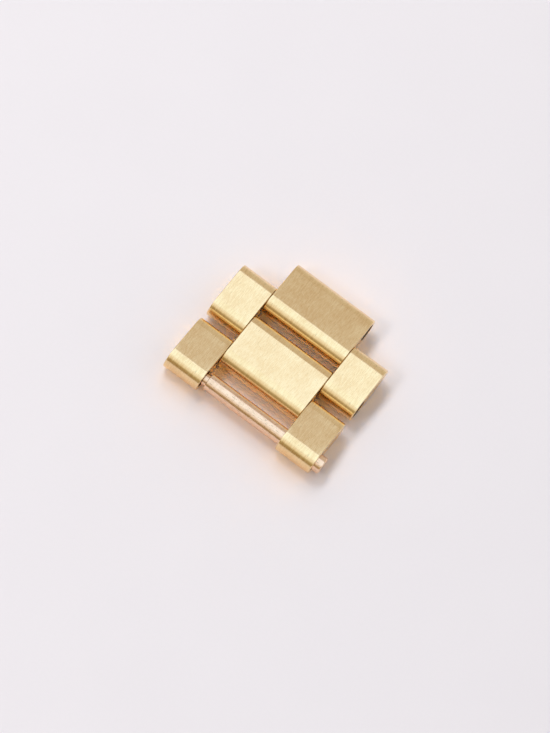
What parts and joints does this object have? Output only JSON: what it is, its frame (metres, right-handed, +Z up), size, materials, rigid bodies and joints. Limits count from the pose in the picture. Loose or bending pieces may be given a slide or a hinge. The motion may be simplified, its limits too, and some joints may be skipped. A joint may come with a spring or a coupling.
{
  "type": "watch bracelet link",
  "caption": "Short watch bracelet segment in a brick pattern, with outer links in pairs, wide centre links, pressed hidden pins and stepped pins that push out.",
  "frame": {"origin": "bottom centre of the box round all the pieces at rest, the pulled-out end of the front pin included; the middle of the bracelet's width is 0.38 mm to the left of it", "axes": "+X across the bracelet, to the side that the removable pins push out of; +Y along the bracelet, from the front outer links to the rear centre link; +Z up, away from the wrist"},
  "size_m": [0.0178, 0.017, 0.0029],
  "materials": {
    "brushed_yellow_gold": "fine brushing along the bracelet on the tops and round ends, satin sides",
    "polished_rose_gold": "polished, with light rubbing marks round the pin"
  },
  "bodies": {
    "front_outer_pair": {"outer_link_front_left": "brushed_yellow_gold", "outer_link_front_right": "brushed_yellow_gold", "fixed_pin_front": "polished_rose_gold"},
    "front_centre": {"centre_link_front": "brushed_yellow_gold"},
    "rear_outer_pair": {"outer_link_rear_left": "brushed_yellow_gold", "outer_link_rear_right": "brushed_yellow_gold", "fixed_pin_rear": "polished_rose_gold"},
    "rear_centre": {"centre_link_rear": "brushed_yellow_gold"},
    "front_pin": {"removable_pin_front": "polished_rose_gold"},
    "middle_pin": {"removable_pin_middle": "polished_rose_gold"}
  },
  "joints": [
    {"name": "front_centre_hinge", "type": "hinge", "parent": "front_outer_pair", "child": "front_centre", "pos_m": [-0.00038, -0.00358, 0.00135], "axis": [1, 0, 0], "range_deg": [-74, 66]},
    {"name": "rear_outer_hinge", "type": "hinge", "parent": "front_centre", "child": "rear_outer_pair", "pos_m": [-0.00038, 0, 0.00144], "axis": [1, 0, 0], "range_deg": [-71, 69]},
    {"name": "rear_centre_hinge", "type": "hinge", "parent": "rear_outer_pair", "child": "rear_centre", "pos_m": [-0.00038, 0.00358, 0.0016], "axis": [1, 0, 0], "range_deg": [-65, 75]},
    {"name": "front_pin_slide", "type": "slide", "parent": "front_outer_pair", "child": "front_pin", "axis": [1, 0, 0], "range_m": [-0.00096, 0.016]},
    {"name": "middle_pin_slide", "type": "slide", "parent": "rear_outer_pair", "child": "middle_pin", "axis": [1, 0, 0], "range_m": [0, 0.017]}
  ]
}
